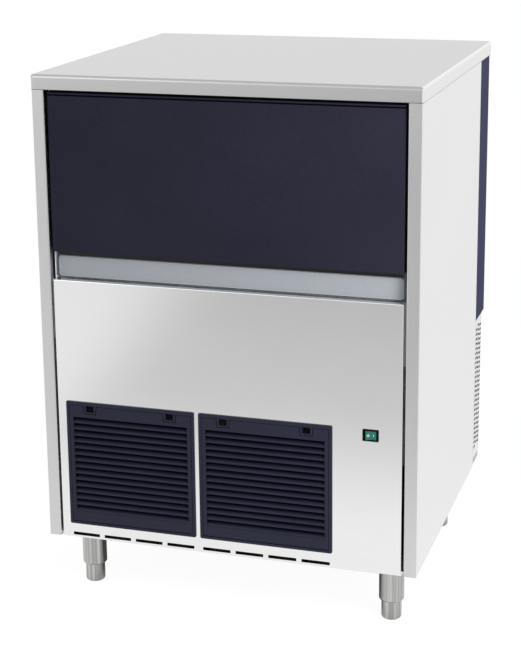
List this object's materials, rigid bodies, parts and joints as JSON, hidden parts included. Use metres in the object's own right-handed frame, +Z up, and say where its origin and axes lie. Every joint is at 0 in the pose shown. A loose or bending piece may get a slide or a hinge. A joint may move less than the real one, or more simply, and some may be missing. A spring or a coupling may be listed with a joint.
{
  "type": "under-counter ice flaker",
  "caption": "Under-counter ice flaker: a steel cabinet on adjustable feet with an insulated bin, an up-and-over bin door, tilting louvred air grilles and a rear machinery cover",
  "frame": {"origin": "centre of the footprint on the floor, under the middle of the cabinet's overall box", "axes": "+Z up, the front with the door and the grilles faces -Y, +X points to the right for a person who stands in front and looks at the door"},
  "size_m": [0.738, 0.6917, 1.03],
  "materials": {
    "stainless": "brushed stainless sheet",
    "stainless_foot": "turned stainless",
    "navy_plastic": "textured dark navy moulding",
    "dark_grille": "dark blue-grey moulding, satin",
    "rear_plastic": "blue-grey textured moulding",
    "grey_strip": "satin grey extrusion",
    "liner": "smooth white food-safe liner",
    "black_plastic": "black moulding",
    "green_plastic": "green rocker, satin",
    "rubber": "black rubber",
    "foam": "rigid insulation",
    "filter": "dark woven filter mesh",
    "galvanised": "zinc coated sheet",
    "coil": "aluminium fins",
    "copper": "drawn copper tube",
    "brass": "turned brass",
    "black_paint": "black enamel",
    "grey_paint": "grey enamel",
    "hose": "grey flexible hose",
    "white_plastic": "white moulding"
  },
  "bodies": {
    "cabinet": {"worktop": "stainless", "worktop_board": "foam", "side_panel_left": "stainless", "side_panel_right": "stainless", "base_pan": "galvanised", "front_panel": "stainless", "grille_frame_left": "dark_grille", "grille_frame_right": "dark_grille", "air_filter_left": "filter", "air_filter_right": "filter", "switch_bezel": "black_plastic", "bin_tub": "liner", "bin_seal": "rubber", "rear_cover": "rear_plastic", "rear_grille": "stainless", "leg_front_left": "stainless_foot", "leg_front_right": "stainless_foot", "leg_rear_left": "stainless_foot", "leg_rear_right": "stainless_foot", "condenser": "coil", "fan_cowl": "galvanised", "fan_motor": "black_paint", "fan_bracket": "galvanised", "compressor": "black_paint", "compressor_grommets": "rubber", "gear_motor": "grey_paint", "gear_stand": "galvanised", "freezing_cylinder": "foam", "ice_head": "white_plastic", "head_cap": "white_plastic", "water_tank": "white_plastic", "float_valve": "brass", "water_inlet": "white_plastic", "drain_outlet": "white_plastic", "cable_gland": "black_plastic", "inlet_hose": "hose", "feed_hose": "hose", "drain_hose": "hose", "discharge_line": "copper", "suction_line": "copper", "liquid_line_front": "copper", "liquid_line_rear": "copper", "filter_drier": "copper", "electrical_box": "black_plastic"},
    "door_carriage": {"door_pivot_left": "galvanised", "door_pivot_right": "galvanised"},
    "door": {"bin_door": "navy_plastic", "door_liner": "liner", "door_handle": "grey_strip"},
    "louvre_left": {"grille_door_left": "dark_grille"},
    "louvre_right": {"grille_door_right": "dark_grille"},
    "rocker": {"switch_rocker": "green_plastic"},
    "fan_rotor": {"fan": "black_plastic"},
    "ice_auger": {"auger": "stainless_foot"},
    "float_arm": {"tank_float": "black_plastic"},
    "adjuster_front_left": {"foot_front_left": "stainless_foot"},
    "adjuster_front_right": {"foot_front_right": "stainless_foot"},
    "adjuster_rear_left": {"foot_rear_left": "stainless_foot"},
    "adjuster_rear_right": {"foot_rear_right": "stainless_foot"}
  },
  "joints": [
    {"name": "door_slide", "type": "slide", "parent": "cabinet", "child": "door_carriage", "axis": [0, 1, 0], "range_m": [0, 0.289]},
    {"name": "door_swing", "type": "hinge", "parent": "door_carriage", "child": "door", "pos_m": [0, -0.313, 0.97], "axis": [-1, 0, 0], "range_deg": [0, 88]},
    {"name": "louvre_left_tilt", "type": "hinge", "parent": "cabinet", "child": "louvre_left", "pos_m": [-0.191, -0.3418, 0.1585], "axis": [1, 0, 0], "range_deg": [0, 70]},
    {"name": "louvre_right_tilt", "type": "hinge", "parent": "cabinet", "child": "louvre_right", "pos_m": [0.0776, -0.3418, 0.1585], "axis": [1, 0, 0], "range_deg": [0, 70]},
    {"name": "rocker_tilt", "type": "hinge", "parent": "cabinet", "child": "rocker", "pos_m": [0.2797, -0.338, 0.39], "axis": [0, 0, -1], "range_deg": [0, 16]},
    {"name": "fan_spin", "type": "hinge", "parent": "cabinet", "child": "fan_rotor", "pos_m": [-0.055, -0.238, 0.284], "axis": [0, 1, 0], "continuous": true},
    {"name": "auger_spin", "type": "hinge", "parent": "cabinet", "child": "ice_auger", "pos_m": [-0.15, 0.245, 0.52], "axis": [0, 0, 1], "continuous": true},
    {"name": "float_lift", "type": "hinge", "parent": "cabinet", "child": "float_arm", "pos_m": [-0.3, 0.245, 0.74], "axis": [-1, 0, 0], "range_deg": [0, 28]},
    {"name": "front_left_level", "type": "slide", "parent": "cabinet", "child": "adjuster_front_left", "axis": [0, 0, -1], "range_m": [0, 0.04]},
    {"name": "front_right_level", "type": "slide", "parent": "cabinet", "child": "adjuster_front_right", "axis": [0, 0, -1], "range_m": [0, 0.04]},
    {"name": "rear_left_level", "type": "slide", "parent": "cabinet", "child": "adjuster_rear_left", "axis": [0, 0, -1], "range_m": [0, 0.04]},
    {"name": "rear_right_level", "type": "slide", "parent": "cabinet", "child": "adjuster_rear_right", "axis": [0, 0, -1], "range_m": [0, 0.04]}
  ],
  "couplings": [
    {"joint": "door_slide", "follows": "door_swing", "m_per_rad": 0.188}
  ]
}
